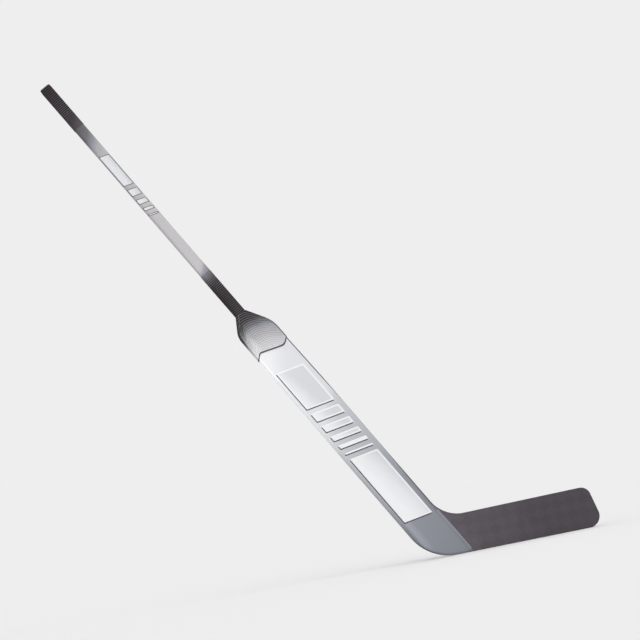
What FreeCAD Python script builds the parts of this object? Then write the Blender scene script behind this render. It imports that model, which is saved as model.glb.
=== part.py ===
import FreeCAD, Part
import Sketcher
import math
import os
import re

# Hockey goalie stick: a hollow shaft, a moulded shoulder, a laminated paddle and a bowed blade.
# Millimetres and degrees, +Z up, striking face towards -Y, toe of the blade towards +X.
# The origin is on the shaft's centre line at the tip of the shoulder, where the hand holds the stick.

SIZES = [
    # stance
    ("lie_angle", 119.5),
    ("stick_length", 1376),
    ("shoulder_height", 698),
    # shaft
    ("shaft_width", 25.6),
    ("shaft_depth", 20),
    ("shaft_corner", 5),
    ("shaft_wall", 2.2),
    ("plug_flange", 3.5),
    ("plug_edge", 1.2),
    ("plug_spigot", 36),
    ("plug_wall", 3),
    ("fit_clearance", 0.15),
    # ribbed grips
    ("upper_grip_length", 118),
    ("lower_grip_length", 120),
    ("grip_wall", 0.35),
    ("rib_height", 0.3),
    ("rib_width", 1.6),
    ("rib_pitch", 4.4),
    # shoulder
    ("flare_height", 72),
    ("flare_inner_angle", 28.8),
    ("flare_inner_radius", 77),
    ("flare_outer_angle", 34.1),
    ("flare_outer_radius", 40),
    ("collar_wall", 2.2),
    ("collar_side", 0.9),
    ("collar_tip", 1.4),
    ("collar_inner_round", 6.4),
    ("collar_outer_round", 9),
    ("skirt_inner", 105),
    ("skirt_lowest", 117),
    ("skirt_highest", 96.2),
    ("skirt_outer", 108),
    ("skirt_low_place", 29),
    ("skirt_high_place", 24),
    ("skirt_low_radius", 14),
    ("skirt_high_radius", 8),
    # paddle
    ("paddle_width", 84.8),
    ("paddle_offset", 3.8),
    ("paddle_depth", 20),
    ("rail_width", 9),
    ("rail_round", 6),
    ("inner_taper", 2.4),
    ("outer_taper", 1.2),
    ("taper_start", 470),
    ("taper_bend", 700),
    ("face_skin", 1.6),
    ("spine_width", 24),
    ("spigot_length", 90),
    ("heel_radius", 105),
    ("heel_core_height", 130),
    # blade
    ("neck_radius", 75),
    ("neck_tip", 3),
    ("blade_length", 379.6),
    ("root_height", 85.2),
    ("toe_height", 89),
    ("toe_slant", 13),
    ("toe_top_radius", 21),
    ("toe_low_radius", 26),
    ("seam_step", 0.5),
    ("bead_width", 1.6),
    ("toe_depth", 8),
    ("blade_bow", 14),
    ("bow_start", 40),
    ("blade_skin", 1.5),
    ("blade_round", 1.1),
    ("edge_band", 6),
    ("bridge_low", 36),
    ("bridge_height", 10),
    ("tenon_length", 46),
]

doc = FreeCAD.newDocument("Goalie_stick")
sheet = doc.addObject("Spreadsheet::Sheet", "Sizes")
for row, (alias, value) in enumerate(SIZES, start=1):
    sheet.set(f"A{row}", alias)
    sheet.set(f"B{row}", str(value))
    sheet.setAlias(f"B{row}", alias)
doc.recompute()


def bind(formula):
    """Turn a formula in size names into an expression that reads them from the sheet."""
    return re.sub(r"[a-z]+(?:_[a-z]+)+", lambda name: "Sizes." + name.group(), formula)


def number(formula):
    """Present value of a formula in size names."""
    return float(sheet.evalExpression(bind(formula)))


# Formulas shared by the sub-parts. The paddle's own frame stands on the ice where the shaft's
# centre line meets it, with z along the shaft and x across the paddle towards the toe.
LEAN = "(lie_angle - 90)"
INNER = "(paddle_offset + paddle_width / 2)"
OUTER = "(paddle_offset - paddle_width / 2)"
FACE_INNER = f"({INNER} - rail_width)"
FACE_OUTER = f"({OUTER} + rail_width)"
PADDLE_TOP = "(shoulder_height - flare_height)"
FAR = "(2 * stick_length)"
CORE_DEPTH = "(paddle_depth - 2 * face_skin)"
BORE_WIDTH = "(shaft_width - 2 * shaft_wall)"
BORE_DEPTH = "(shaft_depth - 2 * shaft_wall)"
BORE_CORNER = "(shaft_corner - shaft_wall)"
TUBE_TOP = "(stick_length - plug_flange)"
COLLAR_DEPTH = "(max(shaft_depth; paddle_depth) + 2 * collar_wall)"
TAPER_SPAN = f"({PADDLE_TOP} - taper_start)"
INNER_AT_HEM = f"({INNER} - inner_taper * (shoulder_height - skirt_inner - taper_start) / {TAPER_SPAN})"
OUTER_AT_HEM = f"({OUTER} + outer_taper * (shoulder_height - skirt_outer - taper_start) / {TAPER_SPAN})"
SOCKET_INNER = f"({INNER_AT_HEM} + fit_clearance)"
SOCKET_OUTER = f"({OUTER_AT_HEM} - fit_clearance)"
SEAM_FOOT = f"({INNER} / cos({LEAN}))"
ROOT_FACE = "(paddle_depth / 2 - seam_step)"
FACE_INSIDE = f"({ROOT_FACE} - blade_skin)"
THINNING = f"({ROOT_FACE} - toe_depth / 2)"
TOE_REACH = (f"(blade_length + {OUTER} / cos({LEAN}) + toe_low_radius / cos(toe_slant)"
             " + toe_low_radius * tan(toe_slant) - toe_low_radius)")
BOW_START = f"({SEAM_FOOT} + bow_start)"
BRIDGE_TOP = "(bridge_low + bridge_height)"
RISE = f"((toe_height - root_height) / ({TOE_REACH} - {SEAM_FOOT}))"


def neck_corner(inset):
    """Height along the shaft where the inner edge meets the blade's top edge, both moved in."""
    height = (f"((root_height - {inset} / cos(atan({RISE})) - {RISE} * {inset} / cos({LEAN}))"
              f" / (1 + {RISE} * tan({LEAN})))")
    return f"(({height} - ({INNER} - {inset}) * sin({LEAN})) / cos({LEAN}))"


def sole_height(place, inset="0"):
    """Height along the shaft of the sole line, moved in, at a place across the paddle."""
    return f"(({inset} - ({place}) * sin({LEAN})) / cos({LEAN}))"


NECK_TANGENT = f"({neck_corner('0')} + neck_radius * tan(((90 - {LEAN}) * 1 deg + atan({RISE})) / 2))"
NECK_END = f"({NECK_TANGENT} - sqrt(2 * neck_radius * neck_tip - neck_tip ^ 2))"


def from_sole(reach, height, *radius):
    """Corner given along and above the sole, in the paddle's own frame."""
    across = f"(({reach}) * cos({LEAN}) + ({height}) * sin({LEAN}))"
    along = f"(({height}) * cos({LEAN}) - ({reach}) * sin({LEAN}))"
    return (across, along, *radius)


def new_body(name, leaning=True):
    """Body placed at the foot of the centre line, leaning with the shaft or level with the blade."""
    body = doc.addObject("PartDesign::Body", name)
    body.Label = name
    turn = FreeCAD.Rotation(FreeCAD.Vector(0, 1, 0), number(f"-{LEAN}") if leaning else 0)
    body.Placement = FreeCAD.Placement(FreeCAD.Vector(0, 0, 0), turn)
    body.setExpression("Placement.Base.x", bind(f"shoulder_height * sin({LEAN})"))
    body.setExpression("Placement.Base.z", bind(f"-shoulder_height * cos({LEAN})"))
    if leaning:
        body.setExpression("Placement.Rotation.Angle", bind(f"-{LEAN}"))
    return body


def new_sketch(body, plane, lift="0", turn="0"):
    """Sketch on one of the body's origin planes, lifted along and turned about its normal."""
    sketch = body.newObject("Sketcher::SketchObject", body.Name + "_sketch")
    support = [item for item in body.Origin.OriginFeatures if item.Role == plane][0]
    sketch.AttachmentSupport = (support, [""])
    sketch.MapMode = "FlatFace"
    upright = FreeCAD.Rotation(FreeCAD.Vector(0, 0, 1), number(turn))
    sketch.AttachmentOffset = FreeCAD.Placement(FreeCAD.Vector(0, 0, number(lift)), upright)
    sketch.setExpression("AttachmentOffset.Base.z", bind(lift))
    if turn != "0":
        sketch.setExpression("AttachmentOffset.Rotation.Angle", bind(turn))
    return sketch


def fix_point(sketch, item, end, corner):
    """Tie one point of a sketch to two formulas."""
    for kind, formula in (("DistanceX", corner[0]), ("DistanceY", corner[1])):
        rule = Sketcher.Constraint(kind, -1, 1, item, end, number(formula))
        index = sketch.addConstraint(rule)
        sketch.setExpression(f"Constraints[{index}]", bind(formula))


def corner_arc(before, corner, after, radius):
    """Arc that rounds a corner, with the points where it leaves and joins the straight edges."""
    inward = (before - corner).normalize()
    outward = (after - corner).normalize()
    half_angle = inward.getAngle(outward) / 2
    reach = radius / math.tan(half_angle)
    start = corner + inward * reach
    finish = corner + outward * reach
    middle = corner + (inward + outward).normalize() * (radius / math.sin(half_angle))
    nearest = middle + (corner - middle).normalize() * radius
    return Part.Arc(start, nearest, finish), start, finish


def draw_loop(sketch, corners):
    """Closed outline through corners tied to formulas; a third formula rounds its corner."""
    points = [FreeCAD.Vector(number(corner[0]), number(corner[1]), 0) for corner in corners]
    count = len(corners)
    leave = list(points)
    join = list(points)
    arcs = {}
    for index, corner in enumerate(corners):
        if len(corner) == 3:
            before = points[index - 1]
            after = points[(index + 1) % count]
            arc, join[index], leave[index] = corner_arc(before, points[index], after, number(corner[2]))
            arcs[index] = sketch.addGeometry(arc, False)
    lines = []
    for index in range(count):
        edge = Part.LineSegment(leave[index], join[(index + 1) % count])
        lines.append(sketch.addGeometry(edge, False))
    for index, corner in enumerate(corners):
        arriving = lines[index - 1]
        leaving = lines[index]
        if index not in arcs:
            sketch.addConstraint(Sketcher.Constraint("Coincident", arriving, 2, leaving, 1))
            fix_point(sketch, leaving, 1, corner)
            continue
        mark = sketch.addGeometry(Part.Point(points[index]), True)
        fix_point(sketch, mark, 1, corner)
        sketch.addConstraint(Sketcher.Constraint("PointOnObject", mark, 1, arriving))
        sketch.addConstraint(Sketcher.Constraint("PointOnObject", mark, 1, leaving))
        arc = arcs[index]
        ends = (1, 2)
        first = sketch.getPoint(arc, 1)
        if first.distanceToPoint(join[index]) > first.distanceToPoint(leave[index]):
            ends = (2, 1)
        sketch.addConstraint(Sketcher.Constraint("Tangent", arriving, 2, arc, ends[0]))
        sketch.addConstraint(Sketcher.Constraint("Tangent", arc, ends[1], leaving, 1))
        rule = sketch.addConstraint(Sketcher.Constraint("Radius", arc, number(corner[2])))
        sketch.setExpression(f"Constraints[{rule}]", bind(corner[2]))


def draw_section(sketch, width, depth, corner, middle="0"):
    """Rounded rectangle about the centre line, or about a middle beside it."""
    left = f"({middle} - ({width}) / 2)"
    right = f"({middle} + ({width}) / 2)"
    deep = f"({depth}) / 2"
    draw_loop(sketch, [
        (left, f"-{deep}", corner),
        (right, f"-{deep}", corner),
        (right, deep, corner),
        (left, deep, corner),
    ])


def pad(body, sketch, length, symmetric=False):
    """Solid raised from a sketch along its normal, or evenly to both sides."""
    feature = body.newObject("PartDesign::Pad", body.Name + "_pad")
    feature.Profile = sketch
    feature.SideType = "Symmetric" if symmetric else "One side"
    feature.setExpression("Length", bind(length))
    return feature


def cut_through(body, sketch):
    """Cut through the whole body, both ways from a sketch."""
    feature = body.newObject("PartDesign::Pocket", body.Name + "_cut")
    feature.Profile = sketch
    feature.SideType = "Symmetric"
    feature.Type = "ThroughAll"
    return feature


def cut_depth(body, sketch, length, upward=False):
    """Cut to a depth below the sketch, or above it."""
    feature = body.newObject("PartDesign::Pocket", body.Name + "_recess")
    feature.Profile = sketch
    feature.Reversed = upward
    feature.setExpression("Length", bind(length))
    return feature


def round_edges(body, feature, radius, chosen):
    """Round the edges of a feature for which the test holds at their middle point."""
    doc.recompute()
    names = []
    for index, edge in enumerate(feature.Shape.Edges, start=1):
        middle = edge.valueAt((edge.FirstParameter + edge.LastParameter) / 2)
        if chosen(middle, edge):
            names.append(f"Edge{index}")
    fillet = body.newObject("PartDesign::Fillet", body.Name + "_round")
    fillet.Base = (feature, names)
    fillet.setExpression("Radius", bind(radius))
    return fillet


def near(first, second):
    """Whether two lengths agree to a hundredth of a millimetre."""
    return abs(first - second) < 0.01


# Shaft
def shaft_tube():
    body = new_body("shaft_tube")
    sketch = new_sketch(body, "XY_Plane", PADDLE_TOP)
    draw_section(sketch, "shaft_width", "shaft_depth", "shaft_corner")
    draw_section(sketch, BORE_WIDTH, BORE_DEPTH, BORE_CORNER)
    pad(body, sketch, f"{TUBE_TOP} - {PADDLE_TOP}")


def butt_end_plug():
    body = new_body("butt_end_plug")
    cap = new_sketch(body, "XY_Plane", TUBE_TOP)
    draw_section(cap, "shaft_width", "shaft_depth", "shaft_corner")
    top = pad(body, cap, "plug_flange")
    end = number("stick_length")
    round_edges(body, top, "plug_edge", lambda middle, edge: near(middle.z, end))
    stem = new_sketch(body, "XY_Plane", f"{TUBE_TOP} - plug_spigot")
    for wall in ("fit_clearance", "(fit_clearance + plug_wall)"):
        corner = f"max({BORE_CORNER} - {wall}; 0.5)"
        draw_section(stem, f"{BORE_WIDTH} - 2 * {wall}", f"{BORE_DEPTH} - 2 * {wall}", corner)
    pad(body, stem, "plug_spigot")


def ribbed_grip(name, low, length):
    """Thin sleeve on the shaft with evenly spaced raised ribs."""
    body = new_body(name)
    sleeve = new_sketch(body, "XY_Plane", low)
    draw_section(sleeve, "shaft_width + 2 * grip_wall", "shaft_depth + 2 * grip_wall",
                 "shaft_corner + grip_wall")
    draw_section(sleeve, "shaft_width", "shaft_depth", "shaft_corner")
    pad(body, sleeve, length)
    count = f"floor(({length} - rib_width) / rib_pitch)"
    span = f"(({count} - 1) * rib_pitch)"
    first = f"({low} + ({length} - rib_width - {span}) / 2)"
    rib = new_sketch(body, "XY_Plane", first)
    tall = "(grip_wall + rib_height)"
    draw_section(rib, f"shaft_width + 2 * {tall}", f"shaft_depth + 2 * {tall}",
                 f"shaft_corner + {tall}")
    draw_section(rib, "shaft_width + grip_wall", "shaft_depth + grip_wall",
                 "shaft_corner + grip_wall / 2")
    ring = pad(body, rib, "rib_width")
    doc.recompute()
    row = body.newObject("PartDesign::LinearPattern", name + "_ribs")
    row.Originals = [ring]
    row.Direction = (rib, ["N_Axis"])
    row.Mode = "Extent"
    row.setExpression("Length", bind(span))
    row.setExpression("Occurrences", bind(count))
    body.Tip = row


# Shoulder
def shoulder_collar():
    body = new_body("shoulder_collar")
    tip = "(shaft_width / 2 + collar_tip)"
    right = f"({SOCKET_INNER} + collar_side)"
    left = f"({SOCKET_OUTER} - collar_side)"
    bottom = "(shoulder_height - 1.5 * skirt_lowest)"
    front = new_sketch(body, "XZ_Plane")
    draw_loop(front, [
        (left, bottom),
        (right, bottom),
        (right, f"shoulder_height - ({right} - {tip}) / tan(flare_inner_angle)", "flare_inner_radius"),
        (tip, "shoulder_height"),
        (f"-{tip}", "shoulder_height"),
        (left, f"shoulder_height + ({left} + {tip}) / tan(flare_outer_angle)", "flare_outer_radius"),
    ])
    block = pad(body, front, COLLAR_DEPTH, symmetric=True)
    face = number(COLLAR_DEPTH) / 2
    low = number(bottom)
    high = number("shoulder_height")

    def inner_side(middle, edge):
        return near(abs(middle.y), face) and low + 1 < middle.z < high - 1 and middle.x > 0

    def outer_side(middle, edge):
        return near(abs(middle.y), face) and low + 1 < middle.z < high - 1 and middle.x < 0

    rounded = round_edges(body, block, "collar_inner_round", inner_side)
    round_edges(body, rounded, "collar_outer_round", outer_side)
    hem = new_sketch(body, "XZ_Plane")
    draw_loop(hem, [
        (f"2 * {left}", f"{bottom} - 10"),
        (f"2 * {right}", f"{bottom} - 10"),
        (f"2 * {right}", "shoulder_height - skirt_inner"),
        (right, "shoulder_height - skirt_inner"),
        ("skirt_low_place", "shoulder_height - skirt_lowest", "skirt_low_radius"),
        ("-skirt_high_place", "shoulder_height - skirt_highest", "skirt_high_radius"),
        (left, "shoulder_height - skirt_outer"),
        (f"2 * {left}", "shoulder_height - skirt_outer"),
    ])
    cut_through(body, hem)
    socket = new_sketch(body, "XY_Plane", PADDLE_TOP)
    gap = "(2 * fit_clearance)"
    draw_section(socket, f"({SOCKET_INNER} - {SOCKET_OUTER})", f"paddle_depth + {gap}",
                 "rail_round + fit_clearance", f"({SOCKET_INNER} + {SOCKET_OUTER}) / 2")
    cut_depth(body, socket, "2 * skirt_lowest")
    bore = new_sketch(body, "XY_Plane", PADDLE_TOP)
    draw_section(bore, f"shaft_width + {gap}", f"shaft_depth + {gap}", "shaft_corner + fit_clearance")
    cut_depth(body, bore, "2 * flare_height", upward=True)


# Paddle
def laminate_corners(top):
    """Outline between the rails, from the sole's inner line up to a height along the shaft."""
    return [
        (FACE_OUTER, top),
        (FACE_OUTER, sole_height(FACE_OUTER, "rail_width"), "heel_radius - rail_width"),
        (INNER, sole_height(INNER, "rail_width")),
        (INNER, NECK_END),
        (FACE_INNER, NECK_END),
        (FACE_INNER, top),
    ]


def paddle_skin(name, lift):
    body = new_body(name)
    sketch = new_sketch(body, "XZ_Plane", lift)
    draw_loop(sketch, laminate_corners(PADDLE_TOP))
    pad(body, sketch, "face_skin")


def heel_core():
    body = new_body("heel_core")
    sketch = new_sketch(body, "XZ_Plane")
    draw_loop(sketch, laminate_corners("heel_core_height"))
    pad(body, sketch, CORE_DEPTH, symmetric=True)
    slot = new_sketch(body, "XZ_Plane")
    deep = f"({INNER} - tenon_length)"
    out = f"({INNER} + 10)"
    draw_loop(slot, [
        (deep, sole_height(deep, "bridge_low")),
        (out, sole_height(out, "bridge_low")),
        (out, sole_height(out, BRIDGE_TOP)),
        (deep, sole_height(deep, BRIDGE_TOP)),
    ])
    cut_through(body, slot)


def paddle_core(name, left, right):
    body = new_body(name)
    sketch = new_sketch(body, "XZ_Plane")
    draw_loop(sketch, [
        (left, "heel_core_height"),
        (right, "heel_core_height"),
        (right, PADDLE_TOP),
        (left, PADDLE_TOP),
    ])
    pad(body, sketch, CORE_DEPTH, symmetric=True)
    return body


def paddle_spine():
    body = paddle_core("paddle_spine", "-spine_width / 2", "spine_width / 2")
    spigot = new_sketch(body, "XY_Plane", PADDLE_TOP)
    gap = "(2 * fit_clearance)"
    corner = f"max({BORE_CORNER} - fit_clearance; 0.5)"
    draw_section(spigot, f"{BORE_WIDTH} - {gap}", f"{BORE_DEPTH} - {gap}", corner)
    pad(body, spigot, "spigot_length")


def outer_rail():
    body = new_body("outer_rail")
    sketch = new_sketch(body, "XZ_Plane")
    draw_loop(sketch, [
        (FACE_OUTER, PADDLE_TOP),
        (f"{OUTER} + outer_taper", PADDLE_TOP),
        (OUTER, "taper_start", "taper_bend"),
        (OUTER, sole_height(OUTER), "heel_radius"),
        (INNER, sole_height(INNER)),
        (INNER, sole_height(INNER, "rail_width")),
        (FACE_OUTER, sole_height(FACE_OUTER, "rail_width"), "heel_radius - rail_width"),
    ])
    block = pad(body, sketch, "paddle_depth", symmetric=True)
    face = number("paddle_depth / 2")
    tapered = number(f"{OUTER} + outer_taper")
    sine = number(f"sin({LEAN})")
    cosine = number(f"cos({LEAN})")
    bend = number("heel_radius")

    def outside(middle, edge):
        on_edge = middle.x < tapered or near(middle.x * sine + middle.z * cosine, 0)
        on_heel = hasattr(edge.Curve, "Radius") and near(edge.Curve.Radius, bend)
        return near(abs(middle.y), face) and (on_edge or on_heel)

    round_edges(body, block, "rail_round", outside)


def inner_rail():
    body = new_body("inner_rail")
    sketch = new_sketch(body, "XZ_Plane")
    outline = blade_corners("0", FACE_INNER)[:-2]
    outline.append((INNER, "taper_start", "taper_bend"))
    outline.append((f"{INNER} - inner_taper", PADDLE_TOP))
    outline.append((FACE_INNER, PADDLE_TOP))
    draw_loop(sketch, outline)
    block = pad(body, sketch, "paddle_depth", symmetric=True)
    face = number("paddle_depth / 2")
    tapered = number(f"{INNER} - inner_taper")
    neck = number(NECK_TANGENT)
    bend = number("neck_radius")

    def outside(middle, edge):
        on_neck = hasattr(edge.Curve, "Radius") and near(edge.Curve.Radius, bend)
        on_edge = middle.x > tapered and middle.z > neck
        return near(abs(middle.y), face) and (on_edge or on_neck)

    round_edges(body, block, "rail_round", outside)
    below = new_sketch(body, "XZ_Plane")
    draw_loop(below, [
        (f"-{FAR}", f"-{FAR}"),
        (FAR, f"-{FAR}"),
        (FAR, NECK_END),
        (f"-{FAR}", NECK_END),
    ])
    cut_through(body, below)


# Blade
def blade_corners(inset, root):
    """Outline of the blade and neck, moved in from the free edges and ended at a root line."""
    end = f"({TOE_REACH} - {inset} / cos(toe_slant))"
    toe_top = (f"((toe_height - {inset} / cos(atan({RISE})) - {RISE} * {inset} / cos(toe_slant))"
               f" / (1 + {RISE} * tan(toe_slant)))")
    edge = f"({INNER} - {inset})"
    return [
        (root, sole_height(root, inset)),
        from_sole(f"{end} - {inset} * tan(toe_slant)", inset, f"toe_low_radius - {inset}"),
        from_sole(f"{end} - {toe_top} * tan(toe_slant)", toe_top, f"toe_top_radius - {inset}"),
        (edge, neck_corner(inset), f"neck_radius + {inset}"),
        (edge, PADDLE_TOP),
        (root, PADDLE_TOP),
    ]


def blade_layer(name, front, back, low="-toe_height", high="2 * toe_height"):
    """Bowed layer of the blade between two distances from its middle, in a band of heights."""
    body = new_body(name, leaning=False)
    sketch = new_sketch(body, "XY_Plane", low)
    away = "(-2 * paddle_width)"
    corners = []
    for offset in (front, back):
        side = -1 if number(offset) < 0 else 1
        drop = f"(blade_bow + {side} * {THINNING})"
        corners.append([(away, offset), (BOW_START, offset), (TOE_REACH, f"{offset} - {drop}")])
    sides = []
    for begin, bend, finish in corners:
        points = [FreeCAD.Vector(number(x), number(y), 0) for x, y in (begin, bend, finish)]
        line = sketch.addGeometry(Part.LineSegment(points[0], points[1]), False)
        fall = points[1].y - points[2].y
        radius = ((points[2].x - points[1].x) ** 2 + fall ** 2) / (2 * fall)
        middle = points[1] - FreeCAD.Vector(0, radius, 0)
        turn = math.pi / 2 - math.atan2(points[2].y - middle.y, points[2].x - middle.x)
        circle = Part.Circle(middle, FreeCAD.Vector(0, 0, 1), radius)
        arc = sketch.addGeometry(Part.ArcOfCircle(circle, math.pi / 2 - turn, math.pi / 2), False)
        fix_point(sketch, line, 1, begin)
        fix_point(sketch, line, 2, bend)
        sketch.addConstraint(Sketcher.Constraint("Tangent", line, 2, arc, 2))
        fix_point(sketch, arc, 1, finish)
        sides.append((line, arc, points))
    for end, item in ((0, 0), (2, 1)):
        edge = sketch.addGeometry(Part.LineSegment(sides[0][2][end], sides[1][2][end]), False)
        sketch.addConstraint(Sketcher.Constraint("Coincident", edge, 1, sides[0][item], 1))
        sketch.addConstraint(Sketcher.Constraint("Coincident", edge, 2, sides[1][item], 1))
    pad(body, sketch, f"{high} - ({low})")
    return body


def blade_sketch(body):
    """Sketch in the blade's upright plane, turned to the paddle's own frame."""
    return new_sketch(body, "XZ_Plane", turn=LEAN)


def trim_outside(body, inset, root):
    """Cut away everything outside the blade's outline."""
    sketch = blade_sketch(body)
    draw_loop(sketch, [(f"-{FAR}", f"-{FAR}"), (FAR, f"-{FAR}"), (FAR, FAR), (f"-{FAR}", FAR)])
    draw_loop(sketch, blade_corners(inset, root))
    cut_through(body, sketch)


def trim_seam(body):
    """End a layer along the seam, and bluntly where the neck runs out along the paddle's edge."""
    sketch = blade_sketch(body)
    draw_loop(sketch, [
        (f"-{FAR}", f"-{FAR}"),
        (INNER, f"-{FAR}"),
        (INNER, NECK_END),
        (FAR, NECK_END),
        (FAR, FAR),
        (f"-{FAR}", FAR),
    ])
    return cut_through(body, sketch)


def blade_face(name, front, back, side):
    """Skin on one face of the blade, its free edge softened on the outside."""
    body = blade_layer(name, front, back)
    trim_outside(body, "0", FACE_INNER)
    skin = trim_seam(body)
    doc.recompute()
    borders = []
    for face in skin.Shape.Faces:
        if face.normalAt(*face.Surface.parameter(face.CenterOfMass)).y * side > 0.9:
            borders.extend(edge.hashCode() for edge in face.Edges)
    sine = number(f"sin({LEAN})")
    cosine = number(f"cos({LEAN})")
    seam = number(INNER)
    end = number(NECK_END)

    def free_edge(middle, edge):
        across = middle.x * cosine + middle.z * sine
        along = middle.z * cosine - middle.x * sine
        return borders.count(edge.hashCode()) == 1 and not near(across, seam) and not near(along, end)

    round_edges(body, skin, "blade_round", free_edge)


def seam_bead(name, lift):
    """Line of filler in the step between the paddle's face and the blade's."""
    body = new_body(name)
    sketch = new_sketch(body, "XZ_Plane", lift)
    edge = f"({INNER} + bead_width)"
    draw_loop(sketch, [
        (INNER, sole_height(INNER, "rail_width")),
        (edge, sole_height(edge, "rail_width")),
        (edge, f"{NECK_END} - bead_width"),
        (INNER, f"{NECK_END} - bead_width"),
    ])
    pad(body, sketch, "seam_step")


def blade_edge_band():
    body = blade_layer("blade_edge_band", f"-{FACE_INSIDE}", FACE_INSIDE)
    trim_outside(body, "0", FACE_INNER)
    sketch = blade_sketch(body)
    draw_loop(sketch, blade_corners("edge_band", FACE_OUTER))
    cut_through(body, sketch)
    trim_seam(body)


def blade_core(name, low, high):
    body = blade_layer(name, f"-{FACE_INSIDE}", FACE_INSIDE, low, high)
    trim_outside(body, "edge_band", FACE_OUTER)
    trim_seam(body)


def blade_bridge():
    body = blade_layer("blade_bridge", f"-{FACE_INSIDE}", FACE_INSIDE, "bridge_low", BRIDGE_TOP)
    trim_outside(body, "edge_band", f"({INNER} - tenon_length)")


shaft_tube()
butt_end_plug()
ribbed_grip("upper_grip", f"({TUBE_TOP} - upper_grip_length)", "upper_grip_length")
ribbed_grip("lower_grip", "shoulder_height", "lower_grip_length")
shoulder_collar()
paddle_skin("paddle_front_skin", f"{CORE_DEPTH} / 2")
paddle_skin("paddle_back_skin", "-paddle_depth / 2")
outer_rail()
inner_rail()
paddle_spine()
paddle_core("paddle_core_outer", FACE_OUTER, "-spine_width / 2")
paddle_core("paddle_core_inner", "spine_width / 2", FACE_INNER)
heel_core()
blade_face("blade_front_skin", f"-{ROOT_FACE}", f"-{FACE_INSIDE}", -1)
blade_face("blade_back_skin", FACE_INSIDE, ROOT_FACE, 1)
blade_edge_band()
blade_bridge()
blade_core("blade_core_lower", "0", "bridge_low")
blade_core("blade_core_upper", BRIDGE_TOP, "2 * toe_height")
seam_bead("seam_bead_front", ROOT_FACE)
seam_bead("seam_bead_back", "-paddle_depth / 2")
doc.recompute()

for item in doc.Objects:
    if "Invalid" in item.State or "Error" in item.State:
        raise RuntimeError(f"{item.Name} did not recompute: {item.getStatusString()}")
os.makedirs("parts", exist_ok=True)
for body in doc.findObjects("PartDesign::Body"):
    if body.Shape.isNull() or not body.Shape.isValid():
        raise RuntimeError(f"{body.Label} has no valid shape")
    body.Shape.exportStep(f"parts/{body.Label}.step")
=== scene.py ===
import math
from collections import namedtuple

import bmesh
import bpy
from mathutils import Matrix, Vector
from mathutils.bvhtree import BVHTree


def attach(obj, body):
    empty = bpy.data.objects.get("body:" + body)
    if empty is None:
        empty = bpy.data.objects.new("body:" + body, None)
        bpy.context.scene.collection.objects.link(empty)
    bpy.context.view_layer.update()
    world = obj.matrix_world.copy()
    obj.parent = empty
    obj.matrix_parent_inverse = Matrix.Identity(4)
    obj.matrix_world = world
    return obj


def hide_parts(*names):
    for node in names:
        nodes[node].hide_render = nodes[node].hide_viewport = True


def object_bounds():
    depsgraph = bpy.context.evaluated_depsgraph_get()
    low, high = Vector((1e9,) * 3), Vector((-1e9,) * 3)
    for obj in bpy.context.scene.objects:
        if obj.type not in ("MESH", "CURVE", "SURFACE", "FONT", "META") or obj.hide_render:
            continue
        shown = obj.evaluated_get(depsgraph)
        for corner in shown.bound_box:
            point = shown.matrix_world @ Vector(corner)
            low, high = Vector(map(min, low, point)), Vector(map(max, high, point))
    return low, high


# Hockey goalie stick. Row frame in metres: +Z up, striking face towards -Y, toe towards +X.
# Lengths below are millimetres in the paddle's own frame: across towards the toe, depth towards
# the back, and along the shaft, counted from the sole. The inner side is the one with the blade.
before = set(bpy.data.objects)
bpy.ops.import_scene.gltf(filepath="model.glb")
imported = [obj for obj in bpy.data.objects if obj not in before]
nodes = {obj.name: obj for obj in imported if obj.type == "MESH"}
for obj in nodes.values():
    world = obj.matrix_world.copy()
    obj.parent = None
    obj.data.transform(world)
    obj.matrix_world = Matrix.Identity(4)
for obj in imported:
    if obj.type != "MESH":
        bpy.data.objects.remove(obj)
cad_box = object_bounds()

LEAN = math.radians(29.5)
STICK_LENGTH = 1376
SHOULDER = 698
PADDLE_INNER = 46.2
PADDLE_OUTER = -38.6
PADDLE_FACE = 10
NECK_END = 93
SHAFT_FLAT = 7.8
SHAFT_CORNER = 5
ACROSS = Vector((math.cos(LEAN), 0, math.sin(LEAN)))
DEPTH = Vector((0, 1, 0))
ALONG = Vector((-math.sin(LEAN), 0, math.cos(LEAN)))

# Grips: ribs a pitch apart, counted from one rib of each sleeve
GRIP_PITCH = 4.4
UPPER_GRIP_RIB = 1257.7
LOWER_GRIP_RIB = 702.2

# Collar: ribs a pitch apart that bend towards the heel on both sides of a middle, more on the
# outer side than on the inner one, and a smooth lip at the hem. Its faces slope down towards the
# outer side, deepest at the crown's inset from there, and the slope comes in below the tip. A
# facing is how far a surface looks to the front or back, from 0 on the sides to 1 on the faces.
RIB_PITCH = 5
RIB_DEPTH = 0.45
RIB_SHARPNESS = 1.5
RIB_END_FACING = 0.1
RIB_FACING_SPAN = 0.6
RIB_MIDDLE = -12
RIB_OUTER_BEND = 0.05
RIB_INNER_BEND = 0.0105
LIP_WIDTH = 3
LIP_STEP = 0.1
LIP_ROUND = 0.3
COLLAR_FACE_WALL = 2.1
COLLAR_SIDE_WALL = 0.95
WALL_START_FACING = 0.7
WALL_FACING_SPAN = 0.3
CROWN_DEPTH = 1.4
CROWN_INSET = 8
CROWN_REACH = 24
CROWN_EDGE = 0.5
CROWN_TOP = SHOULDER - 20
CROWN_BLEND = 35

# How the collar's surface is read: rays start outside it and aim at a middle line that ends an
# inset in from its sides. Below the skirt's top the hem cuts the sides, so the line is taken there.
# The gaps keep the rays clear of the hem's and the tip's edges.
RAY_START = 90
MIDDLE_INSET = 9.4
SKIRT_TOP = SHOULDER - 98
HEM_LOWEST = SHOULDER - 138
HEM_HIGHEST = SHOULDER - 58
HEM_TOLERANCE = 0.002
HEM_GAP = 0.02
TIP_GAP = 0.01
FACE_STEPS = 130
SIDE_STEPS = 40
RIB_STEPS = 170
INSIDE_STEPS = 24

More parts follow.
